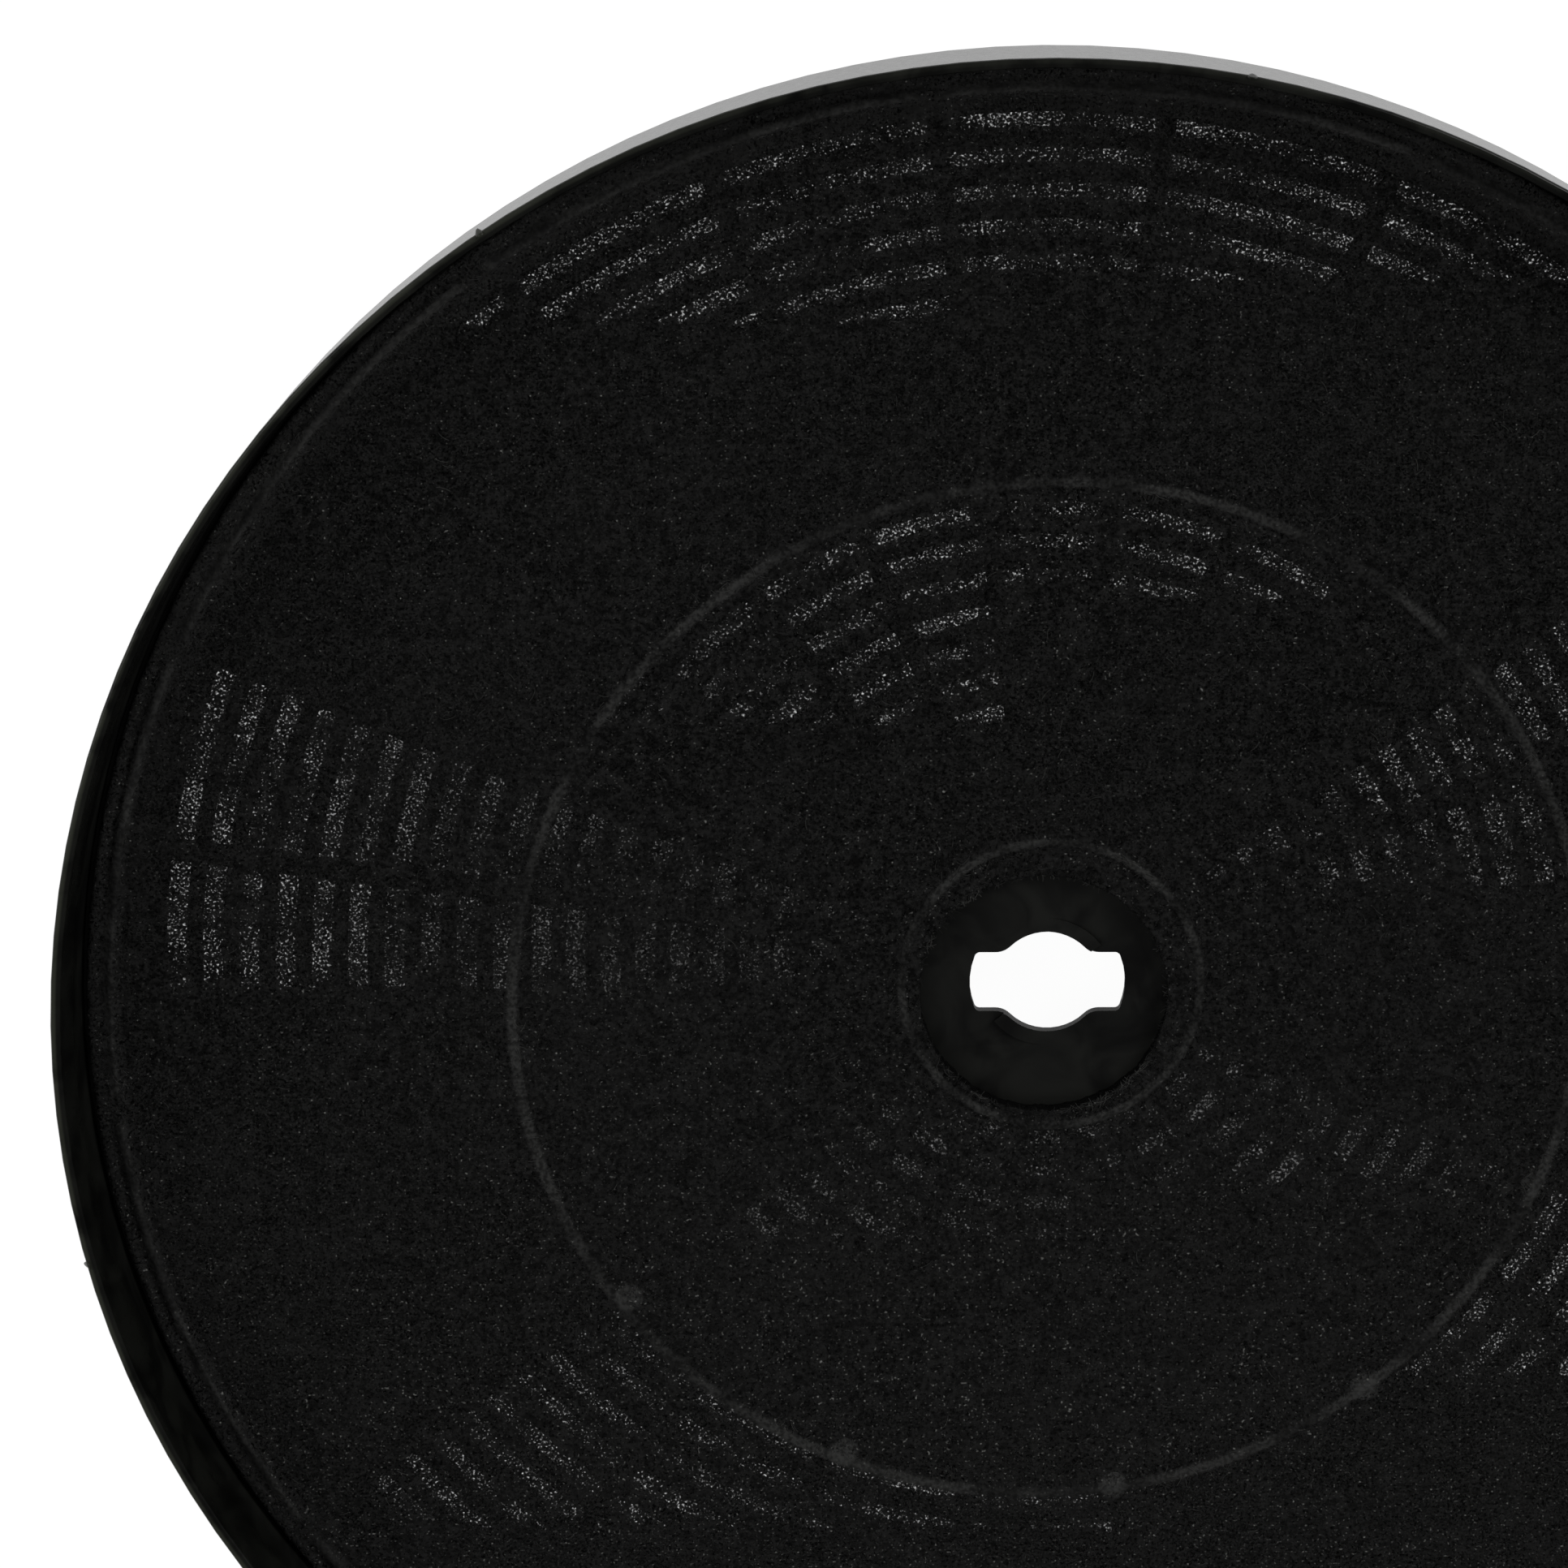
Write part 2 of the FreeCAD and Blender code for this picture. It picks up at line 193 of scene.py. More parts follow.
# Nibs of moulding flash where the tool closed on the rim, each a torn sliver of the same plastic:
# degrees round the rim, width and reach in mm.
NIBS = ((124.6, 0.9, 0.34), (194.7, 0.8, 0.34), (79.0, 1.1, 0.12))
NIB_SECTIONS = ((-0.9, 1.15), (0.0, 1.0), (0.6, 0.62), (1.0, 0.25))
NIB_SIDES = 8
RIM_RADIUS = 104.9
RIM_TOP = 23.2


def nib_mesh():
    shape = bmesh.new()
    for number, (degrees, width, reach) in enumerate(NIBS):
        turn = math.radians(degrees)
        across = Vector((-math.sin(turn), math.cos(turn), 0))
        out = Vector((math.cos(turn), math.sin(turn), 0))
        rings = []
        for share, wide in NIB_SECTIONS:
            centre = out * (RIM_RADIUS + share * reach)
            ring = []
            for k in range(NIB_SIDES):
                a = k * math.tau / NIB_SIDES
                ragged = 1 + 0.25 * noise.noise(Vector((k * 1.7, number * 3.1, share)))
                side = across * (math.cos(a) * width / 2 * wide * ragged)
                up = Vector((0, 0, RIM_TOP - 0.5 * share + math.sin(a) * 0.28 * wide))
                ring.append(shape.verts.new((centre + side + up) * MM))
            rings.append(ring)
        for low, high in zip(rings, rings[1:]):
            for k in range(NIB_SIDES):
                j = (k + 1) % NIB_SIDES
                shape.faces.new((low[k], low[j], high[j], high[k]))
        shape.faces.new(rings[-1])
        shape.faces.new(reversed(rings[0]))
    bmesh.ops.recalc_face_normals(shape, faces=shape.faces)
    mesh = bpy.data.meshes.new("flash_nibs")
    shape.to_mesh(mesh)
    return mesh


nibs = bpy.data.objects.new("flash_nibs", nib_mesh())
scene.collection.objects.link(nibs)
nibs.data.materials.append(plastic.material)
nibs.data.shade_smooth()
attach(nibs, "root")

# ---------------------------------------------------------------------------------------------
# Felt cover. A die-cut disc of black needled polyester felt, 2 mm thick, welded down over the
# ledge, the middle ring and the hub's ring: the welds leave matted ridges with a groove each side.
# ---------------------------------------------------------------------------------------------
FELT_EDGE = 101.5
FELT_HOLE = 13.1
FELT_THICK = 2.0
LEDGE_TOP = 11.1
HUB_TOP = 9.2
WELD_OUTER = 99.25
WELD_MIDDLE = 56.5
WELD_HUB = 15.8
MIDDLE_INSIDE = 55.2
HUB_OUTSIDE = 16.8
MIDDLE_OVAL = 0.55
OVAL_AT = 38
HUB_OFF = (0.33, 0.36)
HOLE_OFF = (-0.42, -0.70)
SPOTS = 12
SPOT_FIRST = 7.5
SPOT_STEP = 360.0 / SPOTS
SPOT_RING = 55.9
TURNS = 540


def felt_under(r):
    """Height of the face that lies on ledge, middle ring and hub."""
    if r >= MIDDLE_INSIDE:
        return LEDGE_TOP
    if r <= HUB_OUTSIDE:
        return HUB_TOP
    share = (r - HUB_OUTSIDE) / (MIDDLE_INSIDE - HUB_OUTSIDE)
    return HUB_TOP + (LEDGE_TOP - HUB_TOP) * share


def spot_gap(degrees):
    """Degrees from the nearest weld spot, with its sign."""
    return (degrees - SPOT_FIRST + SPOT_STEP / 2) % SPOT_STEP - SPOT_STEP / 2


def wander(degrees, seed, size):
    """How far a line laid by hand strays at this angle, up to about size."""
    a = math.radians(degrees)
    p = Vector((math.cos(a) * 2.2, math.sin(a) * 2.2, seed))
    fine = Vector((math.cos(a) * 14, math.sin(a) * 14, seed + 5))
    return size * (noise.noise(p) + 0.3 * noise.noise(fine))


def middle_weld(degrees):
    """Radius of the weld over the middle ring, which runs a little out of round."""
    oval = MIDDLE_OVAL * math.cos(2 * math.radians(degrees - OVAL_AT))
    return WELD_MIDDLE + oval + wander(degrees, 7.0, 0.2)


def hub_weld(degrees):
    """Radius of the weld over the hub, which lies a little off centre."""
    a = math.radians(degrees)
    off = HUB_OFF[0] * math.cos(a) + HUB_OFF[1] * math.sin(a)
    return WELD_HUB + off + wander(degrees, 9.0, 0.15)


def hole_edge(degrees):
    """Radius of the cut opening, which was punched a little off centre."""
    a = math.radians(degrees)
    return FELT_HOLE + HOLE_OFF[0] * math.cos(a) + HOLE_OFF[1] * math.sin(a)


def ridge(distance, width, height, groove):
    """Height of a pressed weld at this distance from its line: a crest between two grooves."""
    crest = height * math.exp(-((distance / width) ** 4))
    left = math.exp(-(((distance - width * 2.0) / (width * 0.8)) ** 2))
    right = math.exp(-(((distance + width * 2.0) / (width * 0.8)) ** 2))
    return crest - groove * (left + right)


def felt_top(r, degrees):
    """Height of the needled face, in mm, with welds, spots and soft lumps."""
    a = math.radians(degrees)
    px, py = r * math.cos(a), r * math.sin(a)
    z = felt_under(r) + FELT_THICK
    soft = min(1.0, abs(r - WELD_OUTER) / 4, abs(r - WELD_MIDDLE) / 4, abs(r - WELD_HUB) / 4)
    z += soft * 0.16 * noise.noise(Vector((px / 9, py / 9, 0.3)))
    z += 0.05 * noise.noise(Vector((px / 1.6, py / 1.6, 4.0)))
    gap = spot_gap(degrees)
    broken = 1 - math.exp(-((gap * math.radians(1) * WELD_OUTER / 1.7) ** 2))
    outer = WELD_OUTER + wander(degrees, 1.0, 0.12) - (0.35 if gap < 0 else 0.0)
    z += broken * ridge(r - outer, 0.5, 0.32, 0.26)
    z += ridge(r - middle_weld(degrees), 0.5, 0.2, 0.14) * (0.75 + wander(degrees, 3.0, 0.5))
    z += ridge(r - hub_weld(degrees), 0.45, 0.18, 0.14)
    turn = math.radians(gap)
    away = math.hypot(r * math.cos(turn) - SPOT_RING, r * math.sin(turn))
    z += 0.16 * math.exp(-((away / 1.7) ** 4))
    if r < FELT_HOLE + 1.0:
        z -= 0.15 * (1 - (r - FELT_HOLE) / 1.0) ** 2
    if r > FELT_EDGE - 0.5:
        z -= 0.2 * ((r - FELT_EDGE + 0.5) / 0.5) ** 2
    return z


def felt_rings():
    """Radii of the rings from edge to hole, close together over the welds."""
    radii = []
    r = FELT_EDGE
    while r > FELT_HOLE + 0.05:
        radii.append(r)
        off = min(abs(r - WELD_OUTER), abs(r - WELD_MIDDLE), abs(r - WELD_HUB),
                  r - FELT_HOLE + 1.0, FELT_EDGE - r + 1.4)
        r -= 0.28 if off < 2.1 else 1.6
    return radii + [FELT_HOLE]


def felt_mesh():
    shape = bmesh.new()
    radii = felt_rings()
    under = [FELT_HOLE, HUB_OUTSIDE, 30.0, 42.0, MIDDLE_INSIDE, 75.0, 90.0, FELT_EDGE]
    columns = []
    for k in range(TURNS):
        degrees = k * 360.0 / TURNS
        a = math.radians(degrees)
        ragged_hole = 0.16 * noise.noise(Vector((math.cos(a) * 9, math.sin(a) * 9, 2.0)))
        ragged_hole += 0.13 * noise.noise(Vector((math.cos(a) * 40, math.sin(a) * 40, 6.0)))
        ragged_edge = 0.12 * noise.noise(Vector((math.cos(a) * 60, math.sin(a) * 60, 8.0)))

        def stand(r, z):
            inner = max(0.0, 1 - abs(r - FELT_HOLE) / 1.5)
            outer = max(0.0, 1 - abs(r - FELT_EDGE) / 1.5)
            r += (ragged_hole + hole_edge(degrees) - FELT_HOLE) * inner + ragged_edge * outer
            return shape.verts.new((r * math.cos(a) * MM, r * math.sin(a) * MM, z * MM))

        column = [stand(r, felt_top(r, degrees)) for r in radii]
        for share in (0.33, 0.67):
            r = FELT_HOLE + 0.03 * math.sin(share * 9 + degrees * 0.7)
            column.append(stand(r, felt_top(FELT_HOLE, degrees) * (1 - share) + HUB_TOP * share))
        column += [stand(r, felt_under(r)) for r in under]
        column.append(stand(FELT_EDGE + 0.05, LEDGE_TOP + 0.8))
        columns.append(column)
    count = len(columns[0])
    for k in range(TURNS):
        one, two = columns[k], columns[(k + 1) % TURNS]
        for i in range(count):
            j = (i + 1) % count
            shape.faces.new((one[i], one[j], two[j], two[i]))
    bmesh.ops.recalc_face_normals(shape, faces=shape.faces)
    mesh = bpy.data.meshes.new("felt")
    shape.to_mesh(mesh)
    return mesh


FELT_DARK = (0.0015, 0.0015, 0.0014, 1)
FELT_MID = (0.0101, 0.0101, 0.0098, 1)
# Colour of the painted glints on the fibres.
FELT_GLINT = (0.125, 0.125, 0.119, 1)
# Colour of the painted highlight on the weld ridges and of the painted light inside the rim.
FELT_PAINTED_LIGHT = (0.0400, 0.0402, 0.0385, 1)
FELT_SPOT_HIGHLIGHT = (0.0340, 0.0342, 0.0330, 1)

felt_finish = Finish("needled_felt", Roughness=0.95, Specular_IOR_Level=0.12)
felt_finish.material.use_transparent_shadow = False
x, y, _ = felt_finish.axes()
radius = (x * x + y * y) ** 0.5 * TO_MM
hair = felt_finish.grain(0.00026, 1.0, rough=0.6)
tuft = felt_finish.grain(0.0009, 1.0)
cloud = felt_finish.grain(0.011, 1.0)
glint = felt_finish.grain(0.00015, 0.0)
# Painted shade: dark dots where pinholes between the fibres lie in shade.
pit = 1.0 - felt_finish.grain(0.00040, 0.0).ramp(0.24, 0.33)
# Painted light: the felt is lighter and glints more towards -Y.
felt_light_towards_minus_y = (y * -1.0).ramp(-0.02, 0.07)
# The welds run where the mesh has them: the middle one out of round, the hub's off centre.
oval_turn = math.radians(2 * OVAL_AT)
doubled = (x * x - y * y) * math.cos(oval_turn) + x * y * (2 * math.sin(oval_turn))
middle_line = radius - MIDDLE_OVAL * doubled / (x * x + y * y)
hub_x = x - HUB_OFF[0] * MM
hub_y = y - HUB_OFF[1] * MM
hub_line = (hub_x * hub_x + hub_y * hub_y) ** 0.5 * TO_MM
# Round marks of the weld posts lie every 30 degrees on the middle ring and part the outer line.
step = y.calc("ARCTAN2", x) / math.radians(SPOT_STEP) + SPOTS - SPOT_FIRST / SPOT_STEP
off_spot = ((step + 0.5).calc("FRACT") - 0.5) * math.radians(SPOT_STEP) * radius
patchy = felt_finish.grain(0.0030, 1.0).ramp(0.34, 0.58)
lower = (y * -1.0).ramp(0.005, 0.045)
outer_weld = radius.near(WELD_OUTER, 0.75) * off_spot.calc("ABSOLUTE").ramp(0.8, 2.2)
off_ring = radius - SPOT_RING
# Painted highlight on the raised weld-post marks, strongest towards -Y and faint towards +Y.
spot = 1.0 - (off_ring * off_ring + off_spot * off_spot).ramp(1.0, 3.0)
spot = spot * (0.15 + 0.85 * lower)
# Painted light inside the rim, stronger towards +Y, lifting the felt that the rim wall shades.
rim_painted_light = radius.ramp(95.5, 98.0) * (0.07 + 0.09 * y.ramp(0.0, 0.06))
welds = outer_weld.calc("MAXIMUM", middle_line.near(WELD_MIDDLE, 0.8))
welds = welds.calc("MAXIMUM", hub_line.near(WELD_HUB, 0.62))
colour = felt_finish.blend((hair * 0.65 + tuft * 0.35).ramp(0.36, 0.66), FELT_DARK, FELT_MID)
# Random cloudy tone, plus painted light that lightens the felt towards -Y.
colour = felt_finish.blend(cloud.ramp(0.3, 0.7) * 0.2 + felt_light_towards_minus_y * 0.22, colour, FELT_MID)
# Painted shade in the pinholes.
colour = felt_finish.blend(pit * 0.8, colour, FELT_DARK)
fuzz = hair.ramp(0.30, 0.70)
# Painted highlight along the pressed weld ridges, patchy with the fibres.
colour = felt_finish.blend(welds * (0.07 + 0.34 * patchy) * (0.4 + fuzz), colour, FELT_PAINTED_LIGHT)
# Painted light inside the rim.
colour = felt_finish.blend(rim_painted_light, colour, FELT_PAINTED_LIGHT)
# Painted highlight on the weld-post marks.
colour = felt_finish.blend(spot * (0.35 + 0.5 * fuzz), colour, FELT_SPOT_HIGHLIGHT)
# Painted glints: bright specks where fibres catch the light, in clumps, fewer on the welds and more
# towards -Y.
clump = 0.45 + 0.55 * tuft.ramp(0.42, 0.60)
glint_specks = (glint + 0.035 * felt_light_towards_minus_y).ramp(0.715, 0.90) * clump * (1.0 - welds * 0.7)
colour = felt_finish.blend(glint_specks, colour, FELT_GLINT)
# Light passes between the fibres through openings about as wide as a few fibres.
upward = felt_finish.node("NewGeometry", out="Normal")
facing = felt_finish.node("SeparateXYZ", None, {"Vector": upward}, 2)
pore = felt_finish.grain(0.00016, 1.0, rough=0.55)
# Carbon dust closes part of them over the inner chambers, and on the side towards -X.
dusty = (1.0 - radius.ramp(46.0, 60.0)) * (1.0 - y.ramp(0.004, 0.03))
clogged = (1.0 - radius.ramp(58.0, 90.0)) * (x * -1.0).ramp(0.015, 0.05)
clogged = clogged * y.ramp(-0.05, -0.02)
open_felt = pore + (patchy - 0.4) * 0.07 + (cloud - 0.5) * 0.12
pores = open_felt.ramp(0.50, 0.77) * (1.0 - welds)
pores = pores * (0.80 - 0.34 * dusty) * (1.0 - 0.35 * clogged)
# Painted shade on the cut wall round the opening, which lies in shadow.
shaded_cut_wall = (1.0 - facing.calc("ABSOLUTE").ramp(0.45, 0.85)) * (1.0 - radius.ramp(14.2, 15.0))
colour = felt_finish.blend(shaded_cut_wall * 0.95, colour, FELT_DARK)
felt_finish.set(
    Base_Color=colour,
    Alpha=1.0 - pores,
    Normal=felt_finish.bump(hair, 0.55, 0.00018),
)
felt = bpy.data.objects.new("felt", felt_mesh())
scene.collection.objects.link(felt)
felt.data.materials.append(felt_finish.material)
felt.data.shade_smooth()
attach(felt, "root")
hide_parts("felt_cover")

# Loose fibres that stand out of the needled face, closer together along the welds and the cut.
FIBRE_COUNT = 4200
FIBRE_SHORT = 0.0004
FIBRE_LONG = 0.0015
FIBRE_PALE = (0.050, 0.050, 0.047, 1)
FIBRE_DARK = (0.007, 0.007, 0.0065, 1)


class Grower:
    """Geometry nodes written in the order in which the geometry is made."""

    def __init__(self, name, **inputs):
        self.tree = bpy.data.node_groups.new(name, "GeometryNodeTree")
        face = self.tree.interface
        face.new_socket("Geometry", in_out="INPUT", socket_type="NodeSocketGeometry")
        face.new_socket("Geometry", in_out="OUTPUT", socket_type="NodeSocketGeometry")
        self.values = {}
        for label, value in inputs.items():
            kind = "NodeSocketInt" if isinstance(value, int) else "NodeSocketFloat"
            socket = face.new_socket(label, in_out="INPUT", socket_type=kind)
            self.values[socket.identifier] = value
        self.start = self.tree.nodes.new("NodeGroupInput")

    def given(self, label="Geometry"):
        return self.start.outputs[label]

    def add(self, kind, settings=None, values=None, out=0):
        made = self.tree.nodes.new(kind)
        for key, value in (settings or {}).items():
            setattr(made, key, value)
        for key, value in (values or {}).items():
            slot = made.inputs[key]
            if isinstance(value, bpy.types.NodeSocket):
                self.tree.links.new(value, slot)
            else:
                slot.default_value = value
        return made.outputs[out]

    def end(self, geometry, material):
        real = self.add("GeometryNodeRealizeInstances", None, {"Geometry": geometry})
        painted = self.add("GeometryNodeSetMaterial", None, {"Geometry": real})
        painted.node.inputs["Material"].default_value = material
        finish = self.tree.nodes.new("NodeGroupOutput")
        self.tree.links.new(painted, finish.inputs[0])

    def grow(self, name, source):
        """Plain mesh object that the tree makes of the source mesh."""
        holder = bpy.data.objects.new(name + "_seed", source)
        scene.collection.objects.link(holder)
        modifier = holder.modifiers.new("grow", "NODES")
        modifier.node_group = self.tree
        for identifier, value in self.values.items():
            modifier[identifier] = value
        graph = bpy.context.evaluated_depsgraph_get()
        mesh = bpy.data.meshes.new_from_object(holder.evaluated_get(graph))
        holder.modifiers.clear()
        bpy.data.objects.remove(holder)
        made = bpy.data.objects.new(name, mesh)
        scene.collection.objects.link(made)
        return made


def fibre_roots():
    """Points where fibres start: nearly half over the face, the rest at welds and opening."""
    shape = bmesh.new()
    chance = random.Random(11)
    for k in range(FIBRE_COUNT):
        pick, third, degrees = chance.random(), chance.random(), chance.random() * 360.0
        if pick < 0.45:
            r = math.sqrt(15.0 ** 2 + (97.0 ** 2 - 15.0 ** 2) * third)
        elif pick < 0.62:
            r = WELD_OUTER - 1.2 + 2.0 * third
        elif pick < 0.78:
            r = middle_weld(degrees) - 1.2 + 2.4 * third
        elif pick < 0.88:
            r = WELD_HUB - 0.9 + 1.8 * third
        else:
            r = hole_edge(degrees) + 0.4 * third
        a = math.radians(degrees)
        z = felt_top(r, degrees) - 0.03
        at = Vector((r * math.cos(a), r * math.sin(a), z)) * MM
        shape.verts.new(at)
    mesh = bpy.data.meshes.new("fibre_roots")
    shape.to_mesh(mesh)
    return mesh


fibre_finish = Finish("loose_fibre", Roughness=0.6, Specular_IOR_Level=0.3)
fibre_finish.set(Base_Color=fibre_finish.blend(
    fibre_finish.grain(0.003, 1.0).ramp(0.42, 0.66), FIBRE_DARK, FIBRE_PALE))
fibres_tree = Grower("loose_fibres", Seed=11)
line = fibres_tree.add("GeometryNodeCurveQuadraticBezier", None, {
    "Resolution": 4, "Start": (-0.5, 0, 0), "Middle": (0.0, 0.17, 0.10), "End": (0.5, 0, 0.10)})
ring = fibres_tree.add("GeometryNodeCurvePrimitiveCircle", None, {"Resolution": 3, "Radius": 0.016})
thread = fibres_tree.add("GeometryNodeCurveToMesh", None, {"Curve": line, "Profile Curve": ring})
seed = fibres_tree.given("Seed")
turn = fibres_tree.add("FunctionNodeRandomValue", {"data_type": "FLOAT_VECTOR"}, {
    "Min": (-0.12, -0.12, 0.0), "Max": (0.12, 0.12, math.tau), "Seed": seed})
# The range of a single random number is set at inputs 2 and 3, and read at output 1.
size = fibres_tree.add("FunctionNodeRandomValue", {"data_type": "FLOAT"}, {"Seed": seed}, 1)
size.node.inputs[2].default_value = FIBRE_SHORT
size.node.inputs[3].default_value = FIBRE_LONG
points = fibres_tree.add("GeometryNodeMeshToPoints", None, {"Mesh": fibres_tree.given()})
placed = fibres_tree.add("GeometryNodeInstanceOnPoints", None, {
    "Points": points, "Instance": thread, "Scale": size})
rotated = fibres_tree.add("GeometryNodeRotateInstances", None, {
    "Instances": placed, "Rotation": turn})
fibres_tree.end(rotated, fibre_finish.material)
fibres = fibres_tree.grow("felt_fibres", fibre_roots())
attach(fibres, "root")

# ---------------------------------------------------------------------------------------------
# Carbon. Broken granules of activated carbon, poured loose into each chamber before the felt was
# welded on. The filter hung upright, so they have settled and leave the top of each chamber empty.
# ---------------------------------------------------------------------------------------------
CARBON_DARK = (0.0035, 0.0035, 0.0037, 1)
CARBON_GREY = (0.019, 0.019, 0.020, 1)
GRANULE = 0.00118
CHIPPED = 0.0011

carbon = Finish("activated_carbon", Specular_IOR_Level=0.4)
pits = carbon.grain(0.0004, 3.0, rough=0.65)
faces = carbon.cells(0.0013)
shade = carbon.node("SeparateColor", None, {"Color": faces}, 0)
carbon.set(
    Base_Color=carbon.blend((shade * 0.6 + pits * 0.5).ramp(0.35, 0.95), CARBON_DARK, CARBON_GREY),
    Roughness=0.45 + 0.4 * pits,
    Normal=carbon.bump(pits, 0.5, 0.0002),
)

granules = Grower("carbon_granules", Spacing=0.00175, Sink=0.0009, Seed=5)
bed = granules.given()
normal = granules.add("GeometryNodeInputNormal")
sink = granules.add("ShaderNodeMath", {"operation": "MULTIPLY"})
granules.tree.links.new(granules.given("Sink"), sink.node.inputs[0])
sink.node.inputs[1].default_value = -1.0
inward = granules.add("ShaderNodeVectorMath", {"operation": "SCALE"}, {
    "Vector": normal, "Scale": sink})
core = granules.add("GeometryNodeSetPosition", None, {"Geometry": bed, "Offset": inward})
cloud_points = granules.add("GeometryNodeDistributePointsOnFaces", {
    "distribute_method": "POISSON"}, {
    "Mesh": core, "Distance Min": granules.given("Spacing"), "Density Max": 900000.0,
    "Seed": granules.given("Seed")})
lump = granules.add("GeometryNodeMeshIcoSphere", None, {"Radius": GRANULE, "Subdivisions": 1})
spin = granules.add("FunctionNodeRandomValue", {"data_type": "FLOAT_VECTOR"}, {
    "Min": (0.0, 0.0, 0.0), "Max": (math.tau, math.tau, math.tau),
    "Seed": granules.given("Seed")})
squeeze = granules.add("FunctionNodeRandomValue", {"data_type": "FLOAT_VECTOR"}, {
    "Min": (0.72, 0.72, 0.6), "Max": (1.3, 1.15, 1.0), "Seed": granules.given("Seed")})
piled = granules.add("GeometryNodeInstanceOnPoints", None, {
    "Points": cloud_points, "Instance": lump, "Rotation": spin, "Scale": squeeze})
loose = granules.add("GeometryNodeRealizeInstances", None, {"Geometry": piled})
place = granules.add("GeometryNodeInputPosition")
chips = granules.add("ShaderNodeTexNoise", None, {
    "Vector": place, "Scale": 700.0, "Detail": 1.0}, "Color")
centred = granules.add("ShaderNodeVectorMath", {"operation": "SUBTRACT"}, {"Vector": chips})
centred.node.inputs[1].default_value = (0.5, 0.5, 0.5)
nudge = granules.add("ShaderNodeVectorMath", {"operation": "SCALE"}, {
    "Vector": centred, "Scale": CHIPPED})
broken = granules.add("GeometryNodeSetPosition", None, {"Geometry": loose, "Offset": nudge})
together = granules.add("GeometryNodeJoinGeometry")
for part in (core, broken):
    granules.tree.links.new(part, together.node.inputs[0])
flat = granules.add("GeometryNodeSetShadeSmooth", None, {
    "Geometry": together, "Shade Smooth": False})
granules.end(flat, carbon.material)

for ring_name in ("outer", "inner"):
    for number in range(1, 7):
        node = f"carbon_bed_{ring_name}_{number}"
        shape = bmesh.new()
        shape.from_mesh(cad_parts[node].data)
        bmesh.ops.remove_doubles(shape, verts=shape.verts, dist=0.00001)
        source = bpy.data.meshes.new(node)
        shape.to_mesh(source)
        heap = granules.grow(f"carbon_{ring_name}_{number}", source)
        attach(heap, "root")
        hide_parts(node)

# ---------------------------------------------------------------------------------------------
# Studio. A pale floor that shows white to the camera and in reflections and keeps the shadow,
# soft overhead light, and the camera of the photograph, far off with a long lens.
# ---------------------------------------------------------------------------------------------
floor_finish = Finish("pale_floor", Base_Color=(0.14, 0.14, 0.14, 1), Roughness=0.9,
                      Specular_IOR_Level=0.0)
path = floor_finish.tree.nodes.new("ShaderNodeLightPath")
seen = Wire(floor_finish, path.outputs["Is Camera Ray"])
for ray in ("Is Glossy Ray", "Is Transmission Ray"):
    seen = seen.calc("MAXIMUM", Wire(floor_finish, path.outputs[ray]))
floor_finish.skin.inputs["Emission Strength"].default_value = 0.95
white = floor_finish.blend(seen, (0, 0, 0, 1), (1, 1, 1, 1))
below = floor_finish.node("NewGeometry", out="Backfacing")
floor_finish.set(Emission_Color=white, Alpha=1.0 - below)
floor_finish.material.use_transparent_shadow = False

floor_mesh = bpy.data.meshes.new("floor")
floor_mesh.from_pydata([(-4, -4, 0), (4, -4, 0), (4, 4, 0), (-4, 4, 0)], [], [(0, 1, 2, 3)])
floor_mesh.materials.append(floor_finish.material)
floor = bpy.data.objects.new("floor", floor_mesh)
floor.location.z = -0.00005
scene.collection.objects.link(floor)

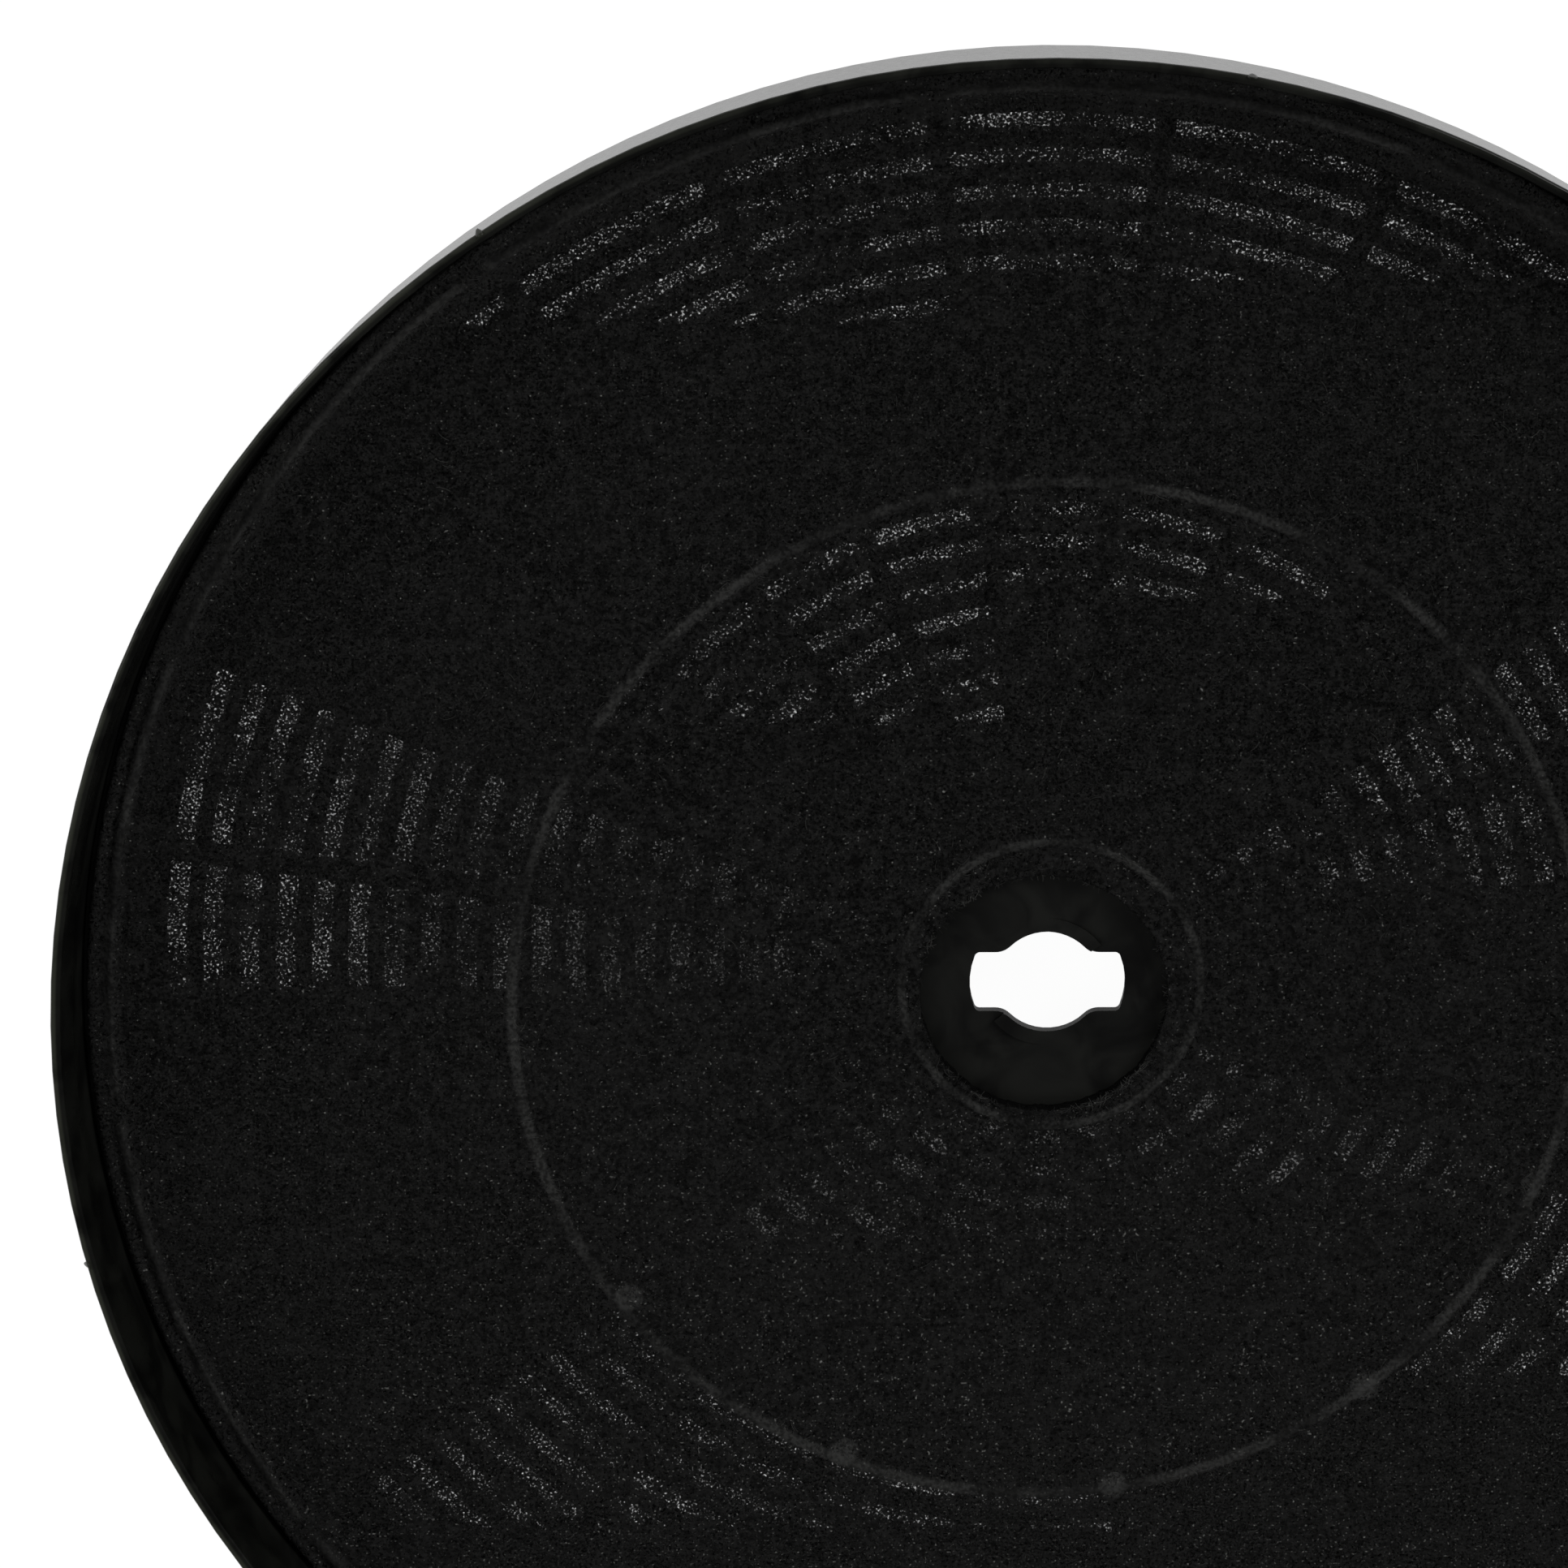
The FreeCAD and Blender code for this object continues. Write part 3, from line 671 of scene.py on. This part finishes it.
SKY_LIGHT = 0.56
SKY_GLOSS = 0.10
world = bpy.data.worlds.new("studio")
scene.world = world
world.use_nodes = True
sky = world.node_tree
back = sky.nodes["Background"]
ray = sky.nodes.new("ShaderNodeLightPath")
level = sky.nodes.new("ShaderNodeMix")
level.data_type = "FLOAT"
sky.links.new(ray.outputs["Is Glossy Ray"], level.inputs[0])
level.inputs[2].default_value = SKY_LIGHT
level.inputs[3].default_value = SKY_GLOSS
shown = sky.nodes.new("ShaderNodeMix")
shown.data_type = "FLOAT"
sky.links.new(ray.outputs["Is Camera Ray"], shown.inputs[0])
sky.links.new(level.outputs[0], shown.inputs[2])
shown.inputs[3].default_value = 1.0
sky.links.new(shown.outputs[0], back.inputs["Strength"])
back.inputs["Color"].default_value = (1, 1, 1, 1)


def lamp(name, at, size, watts):
    light = bpy.data.lights.new(name, "AREA")
    light.size = size
    light.energy = watts
    made = bpy.data.objects.new(name, light)
    made.location = at
    made.rotation_mode = "QUATERNION"
    made.rotation_quaternion = (-Vector(at)).to_track_quat("-Z", "Y")
    scene.collection.objects.link(made)


lamp("key", (1.05, 0.95, 1.0), 0.7, 9.0)
lamp("fill", (-1.2, 0.3, 0.9), 0.9, 4.0)

LEAN = math.radians(18.04)
TOWARDS = math.radians(91.6)
DISTANCE = 1.5
FOCAL = 17485.0
FRAME = 1932.0
SENSOR = 36.0
HUB_SEEN = (1291.2, 1218.4)
HUB_LEVEL = 0.0116
far = Vector((math.cos(TOWARDS), math.sin(TOWARDS), 0))
side = Vector((math.sin(TOWARDS), -math.cos(TOWARDS), 0))
back_axis = far * math.sin(LEAN) + Vector((0, 0, 1)) * math.cos(LEAN)
up = far * math.cos(LEAN) - Vector((0, 0, 1)) * math.sin(LEAN)
right_axis = side * math.sin(TOWARDS) + up * math.cos(TOWARDS)
up_axis = -side * math.cos(TOWARDS) + up * math.sin(TOWARDS)
shift_right = (HUB_SEEN[0] - FRAME / 2) * DISTANCE / FOCAL
shift_up = -(HUB_SEEN[1] - FRAME / 2) * DISTANCE / FOCAL
camera_data = bpy.data.cameras.new("camera")
camera_data.sensor_width = SENSOR
camera_data.lens = FOCAL / FRAME * SENSOR
camera_data.clip_start = 0.1
camera_data.clip_end = 20.0
camera = bpy.data.objects.new("camera", camera_data)
scene.collection.objects.link(camera)
stand = Vector((0, 0, HUB_LEVEL)) + back_axis * DISTANCE
stand -= right_axis * shift_right + up_axis * shift_up
turned = Matrix((right_axis, up_axis, back_axis)).transposed().to_4x4()
camera.matrix_world = Matrix.Translation(stand) @ turned
scene.camera = camera
scene.view_settings.view_transform = "Standard"
